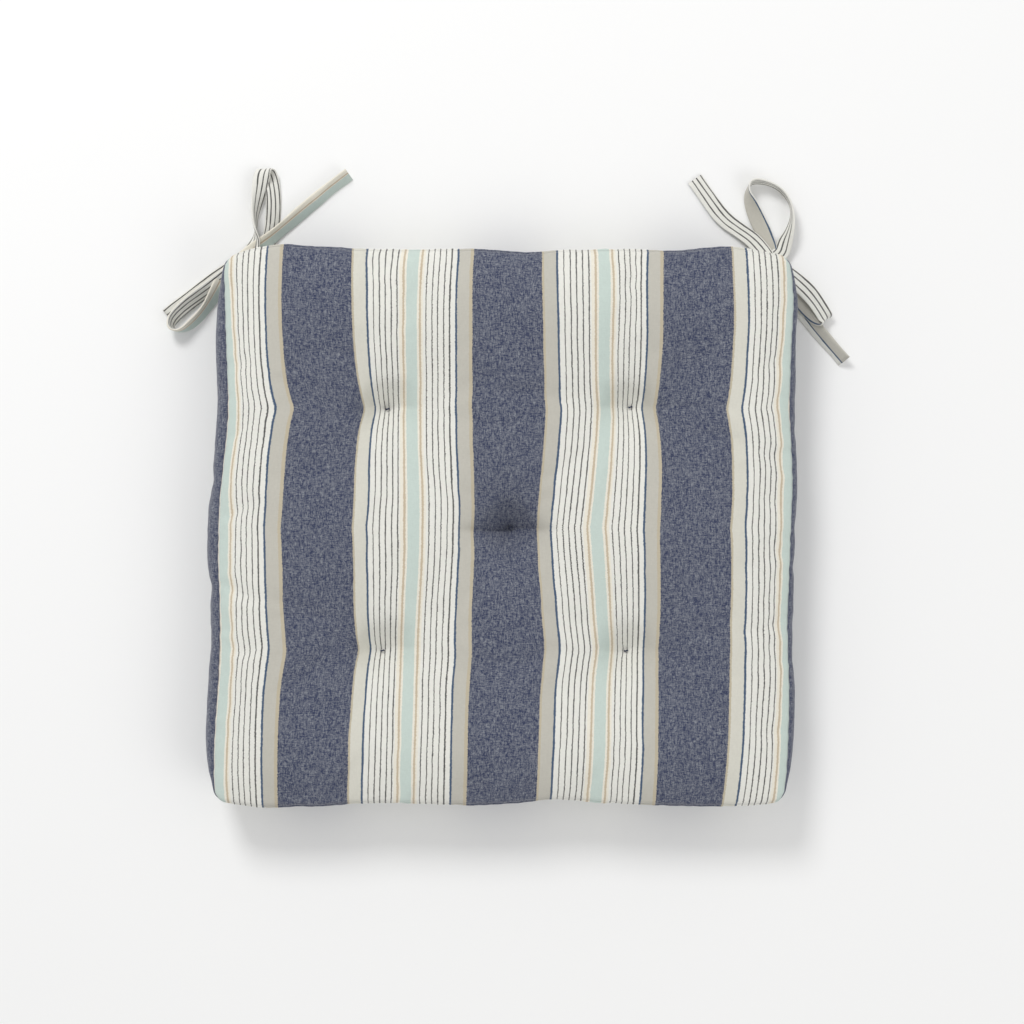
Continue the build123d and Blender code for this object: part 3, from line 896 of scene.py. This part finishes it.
def tie_piece(name, route, seed):
    """A flat folded strip along its route. Each route point is (x, y, z in metres, face-1 normal)."""
    P = nurbs([r[:3] for r in route])
    Q = nurbs([Vector(r[:3]) + Vector(r[3]).normalized() * 0.004 for r in route])
    r = np.random.default_rng(seed)
    T = np.gradient(P, axis=0)
    T /= np.linalg.norm(T, axis=1)[:, None]
    Nn = Q - P
    Nn -= T * (Nn * T).sum(1)[:, None]
    Nn /= np.linalg.norm(Nn, axis=1)[:, None]
    S = np.cross(Nn, T)
    run = np.concatenate([[0], np.cumsum(np.linalg.norm(np.diff(P, axis=0), axis=1))])
    # section: two faces, a folded edge on one side and a stitched edge on the other
    across = np.array([-1, -0.93, -0.8, -0.55, -0.2, 0.2, 0.55, 0.8, 0.93, 1.0])
    thick = np.array([0.35, 0.85, 1.0, 0.93, 0.9, 0.9, 0.93, 0.86, 0.8, 0.35])
    ph = r.uniform(0, 6.28, 6)
    verts, sect_u = [], []
    for i in range(len(P)):
        t = run[i]
        wide = TIE_W / 2 * (1 + 0.035 * math.sin(t * 160 + ph[0]) + 0.03 * math.sin(t * 71 + ph[1]))
        curl = 0.00045 * math.sin(t * 90 + ph[2]) + 0.0002
        for side in (1, -1):
            seq = range(len(across)) if side == 1 else range(len(across) - 1, -1, -1)
            for k in seq:
                a = across[k]
                off = side * TIE_T / 2 * thick[k] + curl * (a * a - 0.4) \
                    + 0.00018 * math.sin(t * 260 + 5 * a + ph[3]) * abs(a) ** 3
                verts.append(P[i] + S[i] * (a * wide) + Nn[i] * off)
    m = 2 * len(across)
    faces, uvs = [], []

    def u_of(k):
        if k < len(across):
            return (across[k] + 1) / 2 * 0.011
        return 0.020 + (across[2 * len(across) - 1 - k] + 1) / 2 * 0.011

    for i in range(len(P) - 1):
        for k in range(m):
            k2 = (k + 1) % m
            faces.append((i * m + k, (i + 1) * m + k, (i + 1) * m + k2, i * m + k2))
            ua, ub = u_of(k), u_of(k2)
            if abs(ua - ub) > 0.008:
                ub = ua
            uvs += [(ua, run[i]), (ua, run[i + 1]), (ub, run[i + 1]), (ub, run[i])]
    # cut ends, closed in two rows
    for i, flip in ((0, False), (len(P) - 1, True)):
        h = len(across)
        for k in range(h - 1):
            q = (i * m + k, i * m + k + 1, i * m + m - 2 - k, i * m + m - 1 - k)
            q = q[::-1] if flip else q
            faces.append(q)
            uvs += [(u_of(k), run[i])] * 4
    verts = [(x, y, max(z, 0.0002)) for x, y, z in verts]
    ob = add_mesh("strap_" + name[4:], verts, faces, uvs)
    ob.data.materials.append(MAT_TIE[name])
    print(name, "length", round(float(run[-1]), 4), "z", float(np.min(np.array(verts)[:, 2])), float(np.max(np.array(verts)[:, 2])))
    return ob, P, float(run[-1])


U, D = (0, 0, 1), (0, 0, -1)
ROUTES = {
    "tie_left_under": [
        (-0.16347, 0.16579, 0.0017, U), (-0.16943, 0.17175, 0.002, U), (-0.17547, 0.17812, 0.003, U),
        (-0.17137, 0.18459, 0.0032, U), (-0.16052, 0.1874, 0.0026, (0.3, 0, 1)), (-0.15625, 0.1986, 0.0032, (0.6, 0, 1)),
        (-0.15446, 0.21427, 0.0033, (0.65, 0, 1)), (-0.15473, 0.22859, 0.0032, (0.5, 0, 1)), (-0.15676, 0.23961, 0.0022, (0, -0.4, 1)),
        (-0.15931, 0.24432, 0.0046, (0, -1, 0.1)), (-0.16219, 0.24101, 0.0069, (0, -0.5, -1)), (-0.16385, 0.23085, 0.0066, (-0.6, 0, -1)),
        (-0.16607, 0.22002, 0.0062, (-1, 0, -0.8)), (-0.16743, 0.21116, 0.0063, (-1, 0, -0.25)), (-0.16673, 0.20297, 0.0066, (-1, 0, 0.0)),
        (-0.16607, 0.19424, 0.0056, (-0.85, 0, 0.6)), (-0.17197, 0.18415, 0.0042, U), (-0.17884, 0.17876, 0.0034, U),
        (-0.18845, 0.17337, 0.0024, U), (-0.20079, 0.1647, 0.0015, U), (-0.21306, 0.155, 0.0013, (0.05, 0.05, 1)),
        (-0.22668, 0.14372, 0.0013, U)],
    "tie_left_over": [
        (-0.16218, 0.16687, 0.0035, U), (-0.16855, 0.17255, 0.0046, U), (-0.17454, 0.17751, 0.006, U),
        (-0.18334, 0.17337, 0.0064, U), (-0.19426, 0.16523, 0.0058, (0.35, -0.45, 0.85)), (-0.20549, 0.15741, 0.0055, (0.45, -0.55, 0.75)),
        (-0.21567, 0.1499, 0.0056, (0.5, -0.5, 0.75)), (-0.22411, 0.14135, 0.006, (0.85, 0.1, 0.5)), (-0.22443, 0.13467, 0.0062, (0.75, 0.6, 0.2)),
        (-0.21665, 0.13333, 0.0061, (0.1, 0.95, -0.2)), (-0.2072, 0.14073, 0.0056, (-0.4, 0.75, -0.5)), (-0.19908, 0.15064, 0.0052, (-0.5, 0.65, -0.55)),
        (-0.19265, 0.16191, 0.0049, (-0.5, 0.5, -0.7)), (-0.18544, 0.17309, 0.0056, D), (-0.17722, 0.18086, 0.0064, D),
        (-0.16847, 0.18779, 0.0054, (-0.2, 0.2, -1)), (-0.15834, 0.1954, 0.0044, (-0.5, 0.62, -1)), (-0.14406, 0.20738, 0.0043, (-0.6, 0.74, -1)),
        (-0.12772, 0.22106, 0.0042, (-0.55, 0.7, -1)), (-0.1141, 0.23269, 0.0042, (-0.62, 0.8, -1)), (-0.10319, 0.24076, 0.0043, (-0.7, 0.88, -1))],
    "tie_right_under": [
        (0.16759, 0.16658, 0.0017, D), (0.1743, 0.17295, 0.002, D), (0.18139, 0.17974, 0.003, D),
        (0.18581, 0.18828, 0.0034, D), (0.18208, 0.19923, 0.0034, (0.2, 0.1, -1)), (0.17635, 0.2108, 0.004, (0.35, 0.15, -1)),
        (0.17151, 0.22194, 0.0052, (0.75, 0.25, -0.65)), (0.16903, 0.23034, 0.0063, (0.98, -0.1, -0.1)), (0.17162, 0.23684, 0.0064, (0.6, -0.75, 0.2)),
        (0.17986, 0.23673, 0.0064, (0.1, -0.98, 0.15)), (0.18915, 0.23377, 0.0063, (-0.35, -0.9, 0.05)), (0.19609, 0.22736, 0.0063, (-0.8, -0.55, 0.0)),
        (0.19995, 0.21916, 0.0063, (-1, -0.1, 0.0)), (0.20025, 0.21097, 0.0062, (-0.98, 0.1, 0.1)), (0.19831, 0.20249, 0.0054, (-0.85, 0.25, 0.4)),
        (0.19501, 0.19475, 0.004, (-0.45, 0.1, 0.9)), (0.19266, 0.18691, 0.0036, U), (0.18501, 0.1834, 0.0042, (-0.7, -0.6, 0.35)),
        (0.18436, 0.17828, 0.004, (-0.5, -0.3, -0.8)), (0.19107, 0.17155, 0.0028, D), (0.19914, 0.16068, 0.0018, D),
        (0.20633, 0.15036, 0.0022, (0.2, 0.15, -1)), (0.21481, 0.1383, 0.0032, (0.5, 0.4, -1)), (0.22506, 0.12613, 0.0039, (0.65, 0.52, -1)),
        (0.23607, 0.11358, 0.0041, (0.7, 0.56, -1))],
    "tie_right_over": [
        (0.1662, 0.16766, 0.0035, D), (0.17293, 0.17374, 0.0046, D), (0.17928, 0.17911, 0.006, D),
        (0.1875, 0.175, 0.0062, D), (0.19455, 0.16691, 0.005, D), (0.20293, 0.15775, 0.0042, D),
        (0.21089, 0.14921, 0.004, D), (0.21914, 0.14201, 0.0042, (0.3, -0.45, -0.8)), (0.22392, 0.14158, 0.0066, (0.6, -0.8, 0.1)),
        (0.22051, 0.14752, 0.0086, (0.2, -0.3, 0.9)), (0.21289, 0.15842, 0.0089, U), (0.20434, 0.16697, 0.0086, U),
        (0.19486, 0.17455, 0.0076, U), (0.18466, 0.1811, 0.0068, U), (0.17969, 0.18923, 0.0054, U),
        (0.17301, 0.19718, 0.0038, U), (0.16424, 0.2034, 0.0024, U), (0.15338, 0.21098, 0.0017, (0.1, 0.1, 1)),
        (0.14334, 0.22434, 0.0015, (0.1, 0.0, 1)), (0.13351, 0.23871, 0.0014, U)],
}
ties = {}
for n, (name, route) in enumerate(ROUTES.items()):
    ob, line, length = tie_piece(name, route, 40 + n)
    body = "left_bow" if "left" in name else "right_bow"
    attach(ob, body)
    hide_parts(name)
    ties[name] = (ob, line)


def knot_wrap(name, centre, angle, mat):
    """The turn of the second tie round the first: a soft band, squashed flat."""
    a = math.radians(angle)
    d = np.array([math.cos(a), math.sin(a), 0.0])   # the way the first tie goes through
    c = np.array([-math.sin(a), math.cos(a), 0.0])  # across
    up_ = np.array([0, 0, 1.0])
    verts, faces, uvs = [], [], []
    rings, m = 36, 14
    for i in range(rings):
        t = 2 * math.pi * i / rings
        sq = 1 / (abs(math.cos(t)) ** 3 + abs(math.sin(t)) ** 3) ** (1 / 3)
        ring = centre + c * math.cos(t) * sq * 0.0070 + up_ * math.sin(t) * sq * 0.0031
        out = c * math.cos(t) + up_ * math.sin(t)
        for k in range(m):
            s_ = 2 * math.pi * k / m
            wide = 0.0062 * (1 - 0.22 * abs(math.cos(t)))
            verts.append(ring + d * (math.cos(s_) * wide + 0.0012 * math.sin(t + 0.6))
                         + out * (math.sin(s_) * 0.0010 + 0.00035 * math.cos(s_ * 3 + t * 2)))
    for i in range(rings):
        j = (i + 1) % rings
        for k in range(m):
            k2 = (k + 1) % m
            faces.append((i * m + k, j * m + k, j * m + k2, i * m + k2))
            ka, kb = 0.011 * (0.5 + 0.48 * math.cos(2 * math.pi * k / m)), 0.011 * (0.5 + 0.48 * math.cos(2 * math.pi * (k + 1) / m))
            va, vb = i * 0.0008, (i + 1) * 0.0008
            uvs += [(ka, va), (ka, vb), (kb, vb), (kb, va)]
    ob = add_mesh(name, verts, faces, uvs)
    ob.data.materials.append(mat)
    return ob


for side, (kx, ky), angle in (("left", (-0.1772, 0.1785), 140), ("right", (0.1805, 0.1785), 30)):
    k = knot_wrap(f"knot_{side}", np.array([kx, ky, 0.0046]), angle, MAT_TIE[f"tie_{side}_over"])
    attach(k, f"{side}_bow")
    ties[f"knot_{side}"] = (k, None)

for name in ROUTES:
    ob, line = ties[name]
    knot = [ties["knot_left" if "left" in name else "knot_right"][0]] if "over" in name else []
    tuple(line[0])
    [tuple(p) for p in line]

# ------------------------------------------------------------------ floor, light, world
floor = add_mesh("floor", [(-3, -3, 0), (3, -3, 0), (3, 3, 0), (-3, 3, 0)], [(0, 1, 2, 3)], smooth=False)
fm = bpy.data.materials.new("floor")
fm.use_nodes = True
fb = fm.node_tree.nodes["Principled BSDF"]
fb.inputs["Base Color"].default_value = (0.93, 0.93, 0.925, 1)
fb.inputs["Roughness"].default_value = 0.9
fb.inputs["Specular IOR Level"].default_value = 0.1
floor.data.materials.append(fm)


def area(name, loc, target, size, power):
    li = bpy.data.lights.new(name, "AREA")
    li.energy = power
    li.shape = "DISK"
    li.size = size
    ob = link(bpy.data.objects.new(name, li))
    ob.location = loc
    ob.rotation_euler = (Vector(target) - Vector(loc)).to_track_quat("-Z", "Y").to_euler()
    return ob


area("key", (-0.9, 1.8, 1.9), (0, 0, 0), 0.9, 33)
area("fill", (1.8, -1.2, 1.9), (0, 0, 0), 1.8, 12)
world = bpy.data.worlds.new("studio")
world.use_nodes = True
world.node_tree.nodes["Background"].inputs["Color"].default_value = (1.0, 1.0, 1.0, 1)
world.node_tree.nodes["Background"].inputs["Strength"].default_value = 0.63
scene.world = world
scene.view_settings.view_transform = "Standard"
